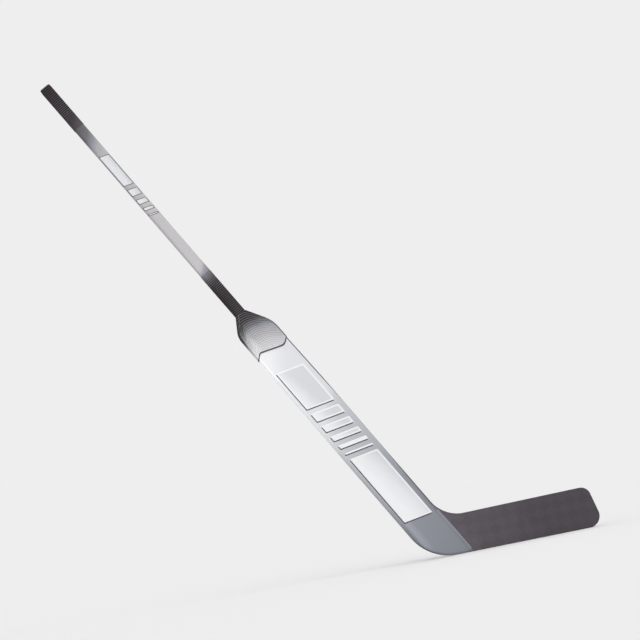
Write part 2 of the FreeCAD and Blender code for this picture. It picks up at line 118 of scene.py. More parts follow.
# Slanted bars on the paddle and on the shaft: lowest and highest place on the centre line
BAR_SLANT = -0.36
BAR_BORDER = 3.6
BAR_CORNER = 1.6
BAR_SHADOW = (-2.2, -1.9)
SMALLEST_FILLED_BAR = 2.5 * BAR_BORDER
PADDLE_BARS = [(432, 536), (397, 419), (367, 384), (341, 354), (319, 328), (302, 306), (108, 289)]
PADDLE_BAR_SIDES = (-27, 33.5)
SHAFT_BARS = [(1080, 1168), (1050, 1070), (1026, 1040), (1007, 1016), (992, 997)]
SHAFT_BAR_REACH = 11.5
SHAFT_BAR_BORDER = 1.5
SHAFT_BAR_STEPS = 16

# Films of the bars: how far they reach into the surface, and how far each stands above it
FILM_SINK = 0.1
SHADOW_LIFT = 0.08
BORDER_LIFT = 0.14
FILL_LIFT = 0.2
OUTLINE_LIFT = 0.06
WHITE_LIFT = 0.12

# Metres: height of the paints' fine relief, and how close points of a mesh are welded
RELIEF_DISTANCE = 0.0003
WELD_DISTANCE = 1e-6


def row_point(across, depth, along):
    """Point of the row frame for millimetres in the paddle's own frame."""
    return (ACROSS * across + DEPTH * depth + ALONG * (along - SHOULDER)) / 1000


def colour(red, green, blue):
    """Linear colour for screen values from 0 to 255."""
    linear = [((value / 255 + 0.055) / 1.055) ** 2.4 for value in (red, green, blue)]
    return (*linear, 1)


# Node helpers
def feed(tree, socket, value):
    """Link a socket to another, or set its constant."""
    if isinstance(value, bpy.types.NodeSocket):
        tree.links.new(value, socket)
    else:
        socket.default_value = value


def calculate(tree, operation, first, second=0.0):
    """Result of one operation on one or two values."""
    node = tree.nodes.new("ShaderNodeMath")
    node.operation = operation
    feed(tree, node.inputs[0], first)
    feed(tree, node.inputs[1], second)
    return node.outputs[0]


def add(tree, *values):
    """Sum of values."""
    total = values[0]
    for value in values[1:]:
        total = calculate(tree, "ADD", total, value)
    return total


def times(tree, *values):
    """Product of values."""
    product = values[0]
    for value in values[1:]:
        product = calculate(tree, "MULTIPLY", product, value)
    return product


def ease(tree, value, zone):
    """Smooth step from 0 where a zone starts to 1 where it is full."""
    node = tree.nodes.new("ShaderNodeMapRange")
    node.interpolation_type = "SMOOTHSTEP"
    feed(tree, node.inputs["Value"], value)
    start, full = zone
    node.inputs["From Min"].default_value = start
    node.inputs["From Max"].default_value = full
    return node.outputs["Result"]


def mix(tree, factor, first, second):
    """Colour between two colours."""
    node = tree.nodes.new("ShaderNodeMix")
    node.data_type = "RGBA"
    feed(tree, node.inputs["Factor"], factor)
    feed(tree, node.inputs[6], first)
    feed(tree, node.inputs[7], second)
    return node.outputs[2]


def brighten(tree, tone, factor):
    """Colour times a grey factor."""
    node = tree.nodes.new("ShaderNodeVectorMath")
    node.operation = "SCALE"
    feed(tree, node.inputs[0], tone[:3] if isinstance(tone, tuple) else tone)
    feed(tree, node.inputs["Scale"], factor)
    return node.outputs[0]


def mottle(tree, tone, texture, share):
    """Colour made lighter and darker by a share of a texture."""
    return brighten(tree, tone, add(tree, 1.0, times(tree, texture, share)))


def fade(tree, value, stops):
    """Colour that changes with a length; stops are (length, colour)."""
    low = stops[0][0]
    span = stops[-1][0] - low
    share = calculate(tree, "DIVIDE", calculate(tree, "SUBTRACT", value, low), span)
    node = tree.nodes.new("ShaderNodeValToRGB")
    elements = node.color_ramp.elements
    while len(elements) < len(stops):
        elements.new(0.5)
    for element, (length, tone) in zip(elements, stops):
        element.position = (length - low) / span
        element.color = colour(*tone)
    feed(tree, node.inputs["Fac"], share)
    return node.outputs["Color"]


Spot = namedtuple("Spot", "across depth along place")


def own_frame(tree, lean=LEAN):
    """Millimetres across, in depth and along at the shaded point, and the vector of the three."""
    source = tree.nodes.new("ShaderNodeTexCoord")
    turn = tree.nodes.new("ShaderNodeMapping")
    turn.inputs["Scale"].default_value = (1000, 1000, 1000)
    turn.inputs["Rotation"].default_value = (0, lean, 0)
    turn.inputs["Location"].default_value = (0, 0, SHOULDER)
    tree.links.new(source.outputs["Object"], turn.inputs["Vector"])
    split = tree.nodes.new("ShaderNodeSeparateXYZ")
    tree.links.new(turn.outputs["Vector"], split.inputs["Vector"])
    return Spot(*split.outputs, turn.outputs["Vector"])


def combine(tree, *values):
    """Vector from three values."""
    node = tree.nodes.new("ShaderNodeCombineXYZ")
    for socket, value in zip(node.inputs, values):
        feed(tree, socket, value)
    return node.outputs[0]


def noise(tree, vector, scale, detail):
    """Noise between -0.5 and 0.5."""
    node = tree.nodes.new("ShaderNodeTexNoise")
    node.inputs["Scale"].default_value = scale
    node.inputs["Detail"].default_value = detail
    tree.links.new(vector, node.inputs["Vector"])
    return calculate(tree, "SUBTRACT", node.outputs["Fac"], 0.5)


def drawn_noise(tree, places, scales, detail):
    """Noise drawn out along the places that have a small scale."""
    scaled = [times(tree, place, scale) for place, scale in zip(places, scales)]
    return noise(tree, combine(tree, *scaled), scale=1.0, detail=detail)


def new_material(name, roughness, specular=0.5):
    """Principled material with its tree and shader."""
    material = bpy.data.materials.new(name)
    material.use_nodes = True
    tree = material.node_tree
    shader = tree.nodes["Principled BSDF"]
    shader.inputs["Roughness"].default_value = roughness
    shader.inputs["Specular IOR Level"].default_value = specular
    return material, tree, shader


def finish_surface(tree, shader, tone, height, strength):
    """Connect a colour and a fine relief to a shader."""
    tree.links.new(tone, shader.inputs["Base Color"])
    bump = tree.nodes.new("ShaderNodeBump")
    bump.inputs["Strength"].default_value = strength
    bump.inputs["Distance"].default_value = RELIEF_DISTANCE
    tree.links.new(height, bump.inputs["Height"])
    tree.links.new(bump.outputs["Normal"], shader.inputs["Normal"])


# Fades are (millimetres, screen colour): the shaft's from the butt, the collar's from its tip, the
# paddle's from the sole, the blade's level from the origin and the bars' across the stick. A zone
# in the paints below is (where it starts, where it is full), in millimetres or, for ribs and dashes,
# in shares of a pitch. A light is a share added to the tone, a shift is millimetres along a fade.
SHAFT_FADE = [
    (0, (36, 30, 34)), (98, (56, 51, 55)), (148, (97, 93, 98)), (172, (136, 137, 146)),
    (184, (160, 157, 161)), (205, (170, 168, 172)), (300, (173, 171, 174)), (390, (181, 178, 181)),
    (536, (179, 177, 180)), (546, (170, 167, 170)), (551, (137, 138, 147)), (558, (123, 125, 134)),
    (563, (113, 109, 114)), (580, (69, 65, 69)), (590, (48, 43, 47)), (625, (38, 32, 36)),
    (690, (48, 43, 47)),
]
COLLAR_FADE = [
    (8, (14, 5, 10)), (20, (40, 32, 38)), (30, (96, 92, 97)), (35, (105, 103, 109)),
    (41, (137, 140, 150)), (52, (167, 165, 169)), (60, (174, 172, 176)), (80, (199, 198, 201)),
    (104, (213, 213, 215)),
]
PADDLE_FADE = [
    (-60, (119, 121, 130)), (140, (129, 132, 141)), (250, (163, 164, 171)), (330, (176, 178, 184)),
    (372, (188, 188, 192)), (412, (205, 206, 209)), (545, (206, 208, 212)), (600, (222, 222, 224)),
]
BLADE_FADE = [
    (380, (77, 71, 78)), (415, (69, 63, 69)), (480, (66, 60, 67)), (545, (56, 50, 57)),
]
BAR_WHITE_FADE = [(-30, (226, 227, 229)), (34, (224, 225, 228))]
BAR_FILL_FADE = [(10, (228, 229, 230)), (36, (217, 218, 221)), (60, (197, 199, 202))]
SHAFT_WHITE_FADE = [(-12, (217, 218, 221)), (0, (214, 215, 218)), (12, (192, 192, 196))]

# Shaft and grips
SHAFT_SLANT = 0.8
STREAK_SCALES = (0.25, 0.03, 0.03)
STREAK_SHIFT = 9
STREAK_LIGHT = 0.12
SHAFT_FLECK_LIGHT = 0.06
# Painted shade along the shaft's outer side
SHAFT_SHADE_ZONE = (-4.5, -8)
SHAFT_SHADE_SHARE = -0.115
# Painted shade on the lower grip's outer side and painted light on its inner side
LOWER_GRIP_ZONE = (SHOULDER + 140, SHOULDER + 95)
LOWER_GRIP_OUTER_ZONE = (-1, -9)
LOWER_GRIP_PAINTED_SHADE = -0.5
LOWER_GRIP_INNER_ZONE = (0, 10)
LOWER_GRIP_INNER_STRETCH = (SHOULDER + 10, SHOULDER + 80)
LOWER_GRIP_PAINTED_LIGHT = 0.5
# Grip ribs: painted light on the crests and painted shade in the grooves, as phase zones and strengths
GRIP_RIB_RISE = (-0.08, 0.06)
GRIP_RIB_FALL = (0.44, 0.30)
GRIP_RIB_LEVEL = 0.3
GRIP_CALM_CONTRAST = 0.4
GRIP_ADDED_CONTRAST = 2.6
UPPER_GRIP_CLEARING = (1273, 1303)
LOWER_GRIP_CLEARING = (815, 780)
PEBBLE_LIGHT = 0.25
DARKEST_RUBBER = 0.1


def shaft_tone(tree):
    """Dark at the butt through silver to dark at the shoulder, on slanted lines with fine streaks.

    Also returns the flecks. The lower grip has painted shade on its outer side and painted light on its
    inner one.
    """
    spot = own_frame(tree)
    from_butt = calculate(tree, "SUBTRACT", STICK_LENGTH, spot.along)
    down = add(tree, from_butt, times(tree, spot.across, SHAFT_SLANT))
    streak = drawn_noise(tree, (down, spot.across, spot.depth), STREAK_SCALES, detail=4.0)
    tone = fade(tree, add(tree, down, times(tree, streak, STREAK_SHIFT)), SHAFT_FADE)
    fleck = noise(tree, spot.place, scale=1.4, detail=3.0)
    # Painted shade on the outer side and painted light on the inner side of the lower grip
    lower = ease(tree, spot.along, LOWER_GRIP_ZONE)
    outer_shade = times(tree, lower, ease(tree, spot.across, LOWER_GRIP_OUTER_ZONE),
                        LOWER_GRIP_PAINTED_SHADE)
    inner_light = times(tree, lower, ease(tree, spot.across, LOWER_GRIP_INNER_ZONE),
                        ease(tree, spot.along, LOWER_GRIP_INNER_STRETCH), LOWER_GRIP_PAINTED_LIGHT)
    light = add(tree, 1.0, times(tree, streak, STREAK_LIGHT), times(tree, fleck, SHAFT_FLECK_LIGHT),
                outer_shade, inner_light)
    return brighten(tree, tone, light), fleck


def shaft_paint():
    """Silver lacquer with a painted shade on the outer side."""
    material, tree, shader = new_material("shaft_paint", roughness=0.36)
    tone, fleck = shaft_tone(tree)
    # Painted shade: the outer side is made darker
    side_shade = ease(tree, own_frame(tree).across, SHAFT_SHADE_ZONE)
    tone = mottle(tree, tone, side_shade, SHAFT_SHADE_SHARE)
    finish_surface(tree, shader, tone, fleck, strength=0.06)
    return material


def grip_rubber(name, first_rib, clearing):
    """Pebbled rubber in the shaft's colours, with painted shade in the rib grooves and painted light on
    the crests, which grows stronger over a stretch.
    """
    material, tree, shader = new_material(name, roughness=0.72, specular=0.2)
    tone = shaft_tone(tree)[0]
    spot = own_frame(tree)
    ribs = calculate(tree, "DIVIDE", add(tree, spot.along, -first_rib), GRIP_PITCH)
    phase = calculate(tree, "FRACT", ribs)
    # Painted highlight on each rib's crest and painted shade in the grooves between
    crest_highlight = times(tree, ease(tree, phase, GRIP_RIB_RISE), ease(tree, phase, GRIP_RIB_FALL))
    pebble = noise(tree, spot.place, scale=2.2, detail=2.0)
    clear = ease(tree, spot.along, clearing)
    contrast = add(tree, GRIP_CALM_CONTRAST, times(tree, clear, GRIP_ADDED_CONTRAST))
    painted_rib_shading = times(tree, add(tree, crest_highlight, -GRIP_RIB_LEVEL), contrast)
    light = add(tree, 1.0, painted_rib_shading, times(tree, pebble, PEBBLE_LIGHT))
    light = calculate(tree, "MAXIMUM", light, DARKEST_RUBBER)
    finish_surface(tree, shader, brighten(tree, tone, light), pebble, strength=0.35)
    return material


# Collar paint: the fade runs quicker on the outer part and ahead on the inner one
COLLAR_ROUGHNESS = 0.22
MATT_TIP_ZONE = (48, 12)
MATT_TIP_ROUGHNESS = 0.12
OUTER_PART_ZONE = (-10, -22)
OUTER_PART_START = 31
OUTER_PART_GAIN = 0.75
OUTER_PART_SHIFT = -3.5
INNER_PART_ZONE = (8, 36)
INNER_PART_STRETCH = (72, 34)
INNER_PART_SHIFT = 7.5
COLLAR_CLOUD_SHIFT = 6
COLLAR_LIGHT = 0.92
# Painted shade in the rib grooves, painted light and a painted highlight on the crests
RIB_SHADING_SHARE = 0.12
COLLAR_FLECK_LIGHT = 0.08
CREST_WAVE = (0.45, 1)
CREST_DEPTH = (3, PADDLE_FACE)
CREST_HIGHLIGHT_SHARE = 0.13
CREST_HIGHLIGHT_TONE = (228, 228, 232)
# Painted shade on the inner side, off the faces
COLLAR_OFF_FACE = (PADDLE_FACE + 1.4, PADDLE_FACE - 0.4)
INNER_SIDE_ZONE = (38, 42)
COLLAR_SIDE_SHADE_TONE = (50, 48, 54)
LIP_TONE = (42, 36, 42)


def collar_paint():
    """Lacquer that fades along the collar's bent ribs, from matt dark to glossy silver, with painted shade
    and highlights on the ribs and painted shade on the inner side.
    """
    material, tree, shader = new_material("collar_paint", COLLAR_ROUGHNESS, specular=0.2)
    spot = own_frame(tree)
    beside = add(tree, spot.across, -RIB_MIDDLE)
    outward = calculate(tree, "MINIMUM", beside, 0.0)
    inward = calculate(tree, "MAXIMUM", beside, 0.0)
    outer_bend = times(tree, outward, outward, RIB_OUTER_BEND)
    bend = add(tree, outer_bend, times(tree, inward, inward, RIB_INNER_BEND))
    down = calculate(tree, "SUBTRACT", calculate(tree, "SUBTRACT", SHOULDER, spot.along), bend)
    cloud = noise(tree, spot.place, scale=0.06, detail=3.0)
    quicker = times(tree, add(tree, down, -OUTER_PART_START), OUTER_PART_GAIN)
    outer_part = times(tree, ease(tree, spot.across, OUTER_PART_ZONE),
                       add(tree, quicker, OUTER_PART_SHIFT))
    inner_part = times(tree, ease(tree, spot.across, INNER_PART_ZONE),
                       ease(tree, down, INNER_PART_STRETCH), INNER_PART_SHIFT)
    reach = add(tree, down, outer_part, inner_part, times(tree, cloud, COLLAR_CLOUD_SHIFT))
    wave = calculate(tree, "COSINE", times(tree, down, 2 * math.pi / RIB_PITCH))
    fleck = noise(tree, spot.place, scale=1.6, detail=3.0)
    # Painted shade in the grooves and painted light on the crests of the ribs
    light = add(tree, COLLAR_LIGHT, times(tree, wave, RIB_SHADING_SHARE), times(tree, fleck, COLLAR_FLECK_LIGHT))
    tone = brighten(tree, fade(tree, reach, COLLAR_FADE), light)
    deep = calculate(tree, "ABSOLUTE", spot.depth)
    # Painted highlight on the rib crests on the faces
    crest_highlight = times(tree, ease(tree, wave, CREST_WAVE), ease(tree, deep, CREST_DEPTH), CREST_HIGHLIGHT_SHARE)
    tone = mix(tree, crest_highlight, tone, colour(*CREST_HIGHLIGHT_TONE))
    # Painted shade on the inner side, off the faces
    shaded_side = times(tree, ease(tree, deep, COLLAR_OFF_FACE), ease(tree, spot.across, INNER_SIDE_ZONE))
    tone = mix(tree, shaded_side, tone, colour(*COLLAR_SIDE_SHADE_TONE))
    matt_tip = times(tree, ease(tree, down, MATT_TIP_ZONE), MATT_TIP_ROUGHNESS)
    tree.links.new(add(tree, COLLAR_ROUGHNESS, matt_tip), shader.inputs["Roughness"])
    finish_surface(tree, shader, tone, fleck, strength=0.06)
    return material


def dark_lacquer(name, tone):
    """Dark paint with faint flecks."""
    material, tree, shader = new_material(name, roughness=0.45, specular=0.35)
    fleck = noise(tree, own_frame(tree).place, scale=1.5, detail=3.0)
    flecked = mottle(tree, colour(*tone), fleck, share=0.3)
    finish_surface(tree, shader, flecked, fleck, strength=0.08)
    return material


# Paddle paint: sides are zones across, stretches are zones along. The painted shade on the sides starts a
# little off the faces, and deeper halfway up, where they are narrow.
PADDLE_SLANT = -1.2
PADDLE_CLOUD_SHIFT = 55
PADDLE_FLECK_LIGHT = 0.03
NECK_SIDE = (37, PADDLE_INNER + 2)
NECK_STRETCH = (235, 110)
NECK_TONE = (74, 72, 80)
# Painted shade on the sides off the faces: the inner side all along, and low on the heel
PADDLE_OFF_FACE = (PADDLE_FACE - 0.6, PADDLE_FACE - 1.8)
NARROW_TOP = (480, 380)
NARROW_BOTTOM = (180, 300)
NARROW_DEPTH = 2.5
HEEL_SIDE = (4, -22)
HEEL_STRETCH = (100, 40)
SIDE_SHADE_TONE = (56, 54, 60)
SEAM_SIDE = (PADDLE_INNER - 5, PADDLE_INNER - 4)
SEAM_STRETCH = (NECK_END + 1, NECK_END - 1)
SEAM_LOW_END = (60, 10)
SEAM_TOP_TONE = (124, 127, 136)
SEAM_LOW_TONE = (113, 116, 125)
# Painted light on the upper outer edge
EDGE_LIGHT_SIDE = (PADDLE_OUTER + 5.1, PADDLE_OUTER + 2.1)
EDGE_LIGHT_STRETCH = (180, 480)
EDGE_LIGHT_SHARE = 0.36
# Painted shade just inside the outer edge at the heel
EDGE_SHADE_SIDE = (PADDLE_OUTER + 9.6, PADDLE_OUTER + 5.1)
EDGE_SHADE_STRETCH = (135, 95)
EDGE_SHADE_SHARE = -0.2
# Painted sheen, a painted reflection beside the heel's outer edge
SHEEN_INNER_SIDE = (-10, -24)
SHEEN_OUTER_SIDE = (PADDLE_OUTER + 6.6, PADDLE_OUTER + 12.6)
SHEEN_BOTTOM = (20, 60)
SHEEN_TOP = (200, 110)
SHEEN_HIGHLIGHT_SHARE = 0.26


def paddle_paint(name, roughness):
    """Lacquer from white at the collar to grey at the heel, darker at the neck, with painted shade on the
    inner side and at the heel, off the faces.

    The outer edge has painted light above and painted shade at the heel, where a painted sheen runs beside
    it.
    """
    material, tree, shader = new_material(name, roughness)
    spot = own_frame(tree)
    cloud = noise(tree, spot.place, scale=0.018, detail=3.0)
    slant = times(tree, spot.across, PADDLE_SLANT)
    tone = fade(tree, add(tree, spot.along, slant, times(tree, cloud, PADDLE_CLOUD_SHIFT)), PADDLE_FADE)
    neck = times(tree, ease(tree, spot.across, NECK_SIDE), ease(tree, spot.along, NECK_STRETCH))
    tone = mix(tree, neck, tone, colour(*NECK_TONE))
    narrow = times(tree, ease(tree, spot.along, NARROW_TOP),
                   ease(tree, spot.along, NARROW_BOTTOM), NARROW_DEPTH)
    deep = add(tree, calculate(tree, "ABSOLUTE", spot.depth), narrow)
    # Painted shade on the sides off the faces, on the inner side and low on the heel
    heel_shade = times(tree, ease(tree, spot.along, HEEL_STRETCH), ease(tree, spot.across, HEEL_SIDE))
    shaded_side = calculate(tree, "MAXIMUM", ease(tree, spot.across, INNER_SIDE_ZONE), heel_shade)
    off_face = ease(tree, deep, PADDLE_OFF_FACE)
    tone = mix(tree, times(tree, off_face, shaded_side), tone, colour(*SIDE_SHADE_TONE))
    seam = times(tree, ease(tree, spot.across, SEAM_SIDE), ease(tree, spot.along, SEAM_STRETCH))
    low_end = ease(tree, spot.along, SEAM_LOW_END)
    seam_tone = mix(tree, low_end, colour(*SEAM_TOP_TONE), colour(*SEAM_LOW_TONE))
    tone = mix(tree, seam, tone, seam_tone)
    fleck = noise(tree, spot.place, scale=0.9, detail=4.0)
    # Painted light on the upper outer edge
    edge_light = times(tree, ease(tree, spot.across, EDGE_LIGHT_SIDE),
                      ease(tree, spot.along, EDGE_LIGHT_STRETCH), EDGE_LIGHT_SHARE)
    # Painted shade just inside the outer edge at the heel
    edge_shade = times(tree, ease(tree, spot.across, EDGE_SHADE_SIDE),
                      ease(tree, spot.along, EDGE_SHADE_STRETCH), EDGE_SHADE_SHARE)
    # Painted sheen, a painted reflection beside the heel's outer edge
    sheen_side = times(tree, ease(tree, spot.across, SHEEN_INNER_SIDE),
                       ease(tree, spot.across, SHEEN_OUTER_SIDE))
    painted_sheen = times(tree, sheen_side, ease(tree, spot.along, SHEEN_BOTTOM),
                  ease(tree, spot.along, SHEEN_TOP), SHEEN_HIGHLIGHT_SHARE)
    light = add(tree, 1.0, times(tree, fleck, PADDLE_FLECK_LIGHT), edge_light, edge_shade, painted_sheen)
    finish_surface(tree, shader, brighten(tree, tone, light), fleck, strength=0.05)
    return material


# Paint of the bars, the plug and the seam's filler
BAR_CLOUD_SHIFT = 14
BAR_FILL_DRIFT = 0.12
BAR_SHADOW_TONE = (50, 45, 50)
BAR_OUTLINE_TONE = (70, 66, 72)
PLUG_TONE = (47, 41, 45)
DASH_PITCH = 7
DASH_START = (0.30, 0.36)
DASH_END = (0.62, 0.56)
DASH_SIDE = (PADDLE_INNER + 0.5, PADDLE_INNER + 0.7)
DASH_STRETCH = (62, 55)
DASH_TONE = (90, 90, 100)
FILLER_LOW_END = (80, 30)
FILLER_TOP_TONE = (114, 116, 124)
FILLER_LOW_TONE = (138, 141, 150)


def bar_paint(name, drift, stops):
    """Pale paint of the bars, fading across the stick and, by a drift, along it."""
    material, tree, shader = new_material(name, roughness=0.4)
    spot = own_frame(tree)
    cloud = noise(tree, spot.place, scale=0.03, detail=3.0)
    reach = add(tree, spot.across, times(tree, spot.along, drift), times(tree, cloud, BAR_CLOUD_SHIFT))
    fleck = noise(tree, spot.place, scale=0.9, detail=4.0)
    finish_surface(tree, shader, fade(tree, reach, stops), fleck, strength=0.05)
    return material


def seam_filler():
    """Pale filler with a row of small dark dashes."""
    material, tree, shader = new_material("seam_filler", roughness=0.5, specular=0.4)
    spot = own_frame(tree)
    phase = calculate(tree, "FRACT", calculate(tree, "DIVIDE", spot.along, DASH_PITCH))
    dash = times(tree, ease(tree, phase, DASH_START), ease(tree, phase, DASH_END))
    inside = times(tree, ease(tree, spot.across, DASH_SIDE), ease(tree, spot.along, DASH_STRETCH))
    low_end = ease(tree, spot.along, FILLER_LOW_END)
    pale = mix(tree, low_end, colour(*FILLER_TOP_TONE), colour(*FILLER_LOW_TONE))
    tone = mix(tree, times(tree, dash, inside), pale, colour(*DASH_TONE))
    fleck = noise(tree, spot.place, scale=1.2, detail=3.0)
    finish_surface(tree, shader, tone, fleck, strength=0.1)
    return material


# Blade: width of a tow, fibres drawn in it, and how its fade leans and clouds
TOW_WIDTH = 20
FIBRES_PER_TOW = 14
BLADE_FADE_LEVEL = 130
BLADE_FADE_LEAN = 0.5
BLADE_CLOUD_SHIFT = 90
CHECK_LIGHT = 0.12
CHECK_CLOUD_LIGHT = 0.16
FIBRE_LIGHT = 0.015
TILE_LIGHT = 0.05
EDGE_SCALES = (0.02, 0.9, 0.02)
EDGE_TONE = (66, 61, 66)
LAMINATE_SCALES = (1.2, 1.2, 0.03)
LAMINATE_TONE = (58, 56, 58)
FOAM_CELL_TONE = (196, 188, 164)
FOAM_WALL_TONE = (230, 224, 204)


def weave(tree):
    """Plain weave of flat tows on the diagonals.

    Returns the spot, which tow is on top, its fibres and a random value for each square.
    """
    spot = own_frame(tree, 0)
    size = TOW_WIDTH * math.sqrt(2)
    rising = calculate(tree, "DIVIDE", add(tree, spot.across, spot.along), size)
    falling = calculate(tree, "DIVIDE", calculate(tree, "SUBTRACT", spot.along, spot.across), size)
    column = calculate(tree, "FLOOR", rising)
    row = calculate(tree, "FLOOR", falling)
    on_top = calculate(tree, "PINGPONG", add(tree, column, row), 1)
    below = calculate(tree, "SUBTRACT", 1.0, on_top)
    ripple = 2 * math.pi * FIBRES_PER_TOW
    first = times(tree, calculate(tree, "SINE", times(tree, rising, ripple)), on_top)
    second = times(tree, calculate(tree, "SINE", times(tree, falling, ripple)), below)
    spread = tree.nodes.new("ShaderNodeTexWhiteNoise")
    tree.links.new(combine(tree, column, row, 0.0), spread.inputs["Vector"])
    return spot, on_top, add(tree, first, second), spread.outputs["Value"]


def blade_carbon():
    """Spread-tow carbon under a thin satin coat, in a coarse diagonal check."""
    material, tree, shader = new_material("blade_carbon", roughness=0.42, specular=0.4)
    spot, on_top, fibres, spread = weave(tree)
    cloud = noise(tree, spot.place, scale=0.02, detail=2.0)
    lean = times(tree, add(tree, spot.along, -BLADE_FADE_LEVEL), BLADE_FADE_LEAN)
    tone = fade(tree, add(tree, spot.across, lean, times(tree, cloud, BLADE_CLOUD_SHIFT)), BLADE_FADE)
    contrast = add(tree, CHECK_LIGHT, times(tree, cloud, CHECK_CLOUD_LIGHT))
    check = times(tree, add(tree, on_top, -0.5), contrast)
    tile = times(tree, add(tree, spread, -0.5), TILE_LIGHT)
    light = add(tree, 1.0, check, times(tree, fibres, FIBRE_LIGHT), tile)
    finish_surface(tree, shader, brighten(tree, tone, light), fibres, strength=0.05)
    return material


def layered_edge():
    """Cut edge of the blade: thin dark and grey plies."""
    material, tree, shader = new_material("layered_edge", roughness=0.5, specular=0.4)
    spot = own_frame(tree, 0)
    ply = drawn_noise(tree, (spot.across, spot.depth, spot.along), EDGE_SCALES, detail=3.0)
    tone = mottle(tree, colour(*EDGE_TONE), ply, share=0.5)
    finish_surface(tree, shader, tone, ply, strength=0.2)
    return material


def core_foam():
    """Closed-cell foam."""
    material, tree, shader = new_material("core_foam", roughness=0.9, specular=0.2)
    cells = tree.nodes.new("ShaderNodeTexVoronoi")
    cells.inputs["Scale"].default_value = 0.9
    tree.links.new(own_frame(tree).place, cells.inputs["Vector"])
    tone = mix(tree, cells.outputs["Distance"], colour(*FOAM_CELL_TONE), colour(*FOAM_WALL_TONE))
    finish_surface(tree, shader, tone, cells.outputs["Distance"], strength=0.5)
    return material


def laminate():
    """Bare carbon laminate with long fibres."""
    material, tree, shader = new_material("laminate", roughness=0.5, specular=0.4)
    spot = own_frame(tree)
    fibre = drawn_noise(tree, (spot.across, spot.depth, spot.along), LAMINATE_SCALES, detail=3.0)
    tone = mottle(tree, colour(*LAMINATE_TONE), fibre, share=0.6)
    finish_surface(tree, shader, tone, fibre, strength=0.2)
    return material


# Mesh helpers
def add_piece(name, vertices, faces, material, trim=None, trim_start=0):
    """Mesh piece in the row frame, riding on its body; faces from trim_start on take the trim."""
    mesh = bpy.data.meshes.new(name)
    mesh.from_pydata(vertices, [], faces)
    mesh.materials.append(material)
    if trim:
        mesh.materials.append(trim)
        for polygon in mesh.polygons[trim_start:]:
            polygon.material_index = 1
    form = bmesh.new()
    form.from_mesh(mesh)
    bmesh.ops.remove_doubles(form, verts=form.verts, dist=WELD_DISTANCE)
    bmesh.ops.dissolve_degenerate(form, edges=form.edges, dist=WELD_DISTANCE)
    bmesh.ops.recalc_face_normals(form, faces=form.faces)
    form.to_mesh(mesh)
    form.free()
    piece = bpy.data.objects.new(name, mesh)
    bpy.context.scene.collection.objects.link(piece)
    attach(piece, "root")
    return piece


def loft(rings, closed):
    """Quads between rings of equally many points; an open loft is capped at both ends."""
    size = len(rings[0])
    vertices = [point for ring in rings for point in ring]
    faces = []
    last = len(rings) if closed else len(rings) - 1
    for index in range(last):
        here = index * size
        there = (index + 1) % len(rings) * size
        for step in range(size):
            after = (step + 1) % size
            faces.append((here + step, here + after, there + after, there + step))
    if not closed:
        faces.append(tuple(range(size)))
        faces.append(tuple(range(last * size, last * size + size)))
    return vertices, faces


def merge(parts):
    """One list of vertices and faces from several."""
    vertices = []
    faces = []
    for points, polygons in parts:
        start = len(vertices)
        vertices.extend(points)
        faces.extend(tuple(index + start for index in polygon) for polygon in polygons)
    return vertices, faces


def soften(corners, radius, steps=5):
    """Outline with its corners rounded."""
    outline = []
    for index, corner in enumerate(corners):
        here = Vector(corner)
        before = Vector(corners[index - 1])
        after = Vector(corners[(index + 1) % len(corners)])
        start = here + (before - here).normalized() * radius
        end = here + (after - here).normalized() * radius
        for step in range(steps + 1):
            share = step / steps
            outline.append(start * (1 - share) ** 2 + here * 2 * share * (1 - share) + end * share ** 2)
    return outline


# Bars painted on the paddle and the shaft
def slanted(low, high, left, right):
    """Corners of a bar across the stick."""
    return [(x, y + BAR_SLANT * x) for x, y in ((left, low), (right, low), (right, high), (left, high))]


def film(outlines, lift, side):
    """Thin flat layers on the paddle's front (-1) or back (1)."""
    parts = []
    for outline in outlines:
        rings = []
        for depth in (PADDLE_FACE - FILM_SINK, PADDLE_FACE + lift):
            rings.append([row_point(x, side * depth, y) for x, y in outline])
        parts.append(loft(rings, False))
    return merge(parts)


def paddle_bars(face, side, fill, white, dark):
    """Bars of one face: dark drop edges, pale borders, and fills where a bar is wide enough."""
    left, right = PADDLE_BAR_SIDES
    borders = [slanted(low, high, left, right) for low, high in PADDLE_BARS]
    shadows = [[(x + BAR_SHADOW[0], y + BAR_SHADOW[1]) for x, y in corners] for corners in borders]
    fills = []
    for low, high in PADDLE_BARS:
        if high - low > SMALLEST_FILLED_BAR:
            inside = (low + BAR_BORDER, high - BAR_BORDER, left + BAR_BORDER, right - BAR_BORDER)
            fills.append(slanted(*inside))
    layers = (
        ("shadows", shadows, SHADOW_LIFT, dark),
        ("borders", borders, BORDER_LIFT, white),
        ("fills", fills, FILL_LIFT, fill),
    )
    for name, outlines, lift, material in layers:
        rounded = [soften(corners, BAR_CORNER) for corners in outlines]
        vertices, faces = film(rounded, lift, side)
        add_piece(f"paddle_bar_{name}_{face}", vertices, faces, material)


def shaft_surface(reach, lift, along, side):
    """Point over the shaft's front (-1) or back (1), a distance round from its middle line."""
    turn = max(abs(reach) - SHAFT_FLAT, 0) / SHAFT_CORNER
    outward = math.copysign(min(abs(reach), SHAFT_FLAT) + (SHAFT_CORNER + lift) * math.sin(turn), reach)
    depth = PADDLE_FACE - SHAFT_CORNER + (SHAFT_CORNER + lift) * math.cos(turn)
    return row_point(outward, side * depth, along + BAR_SLANT * outward)


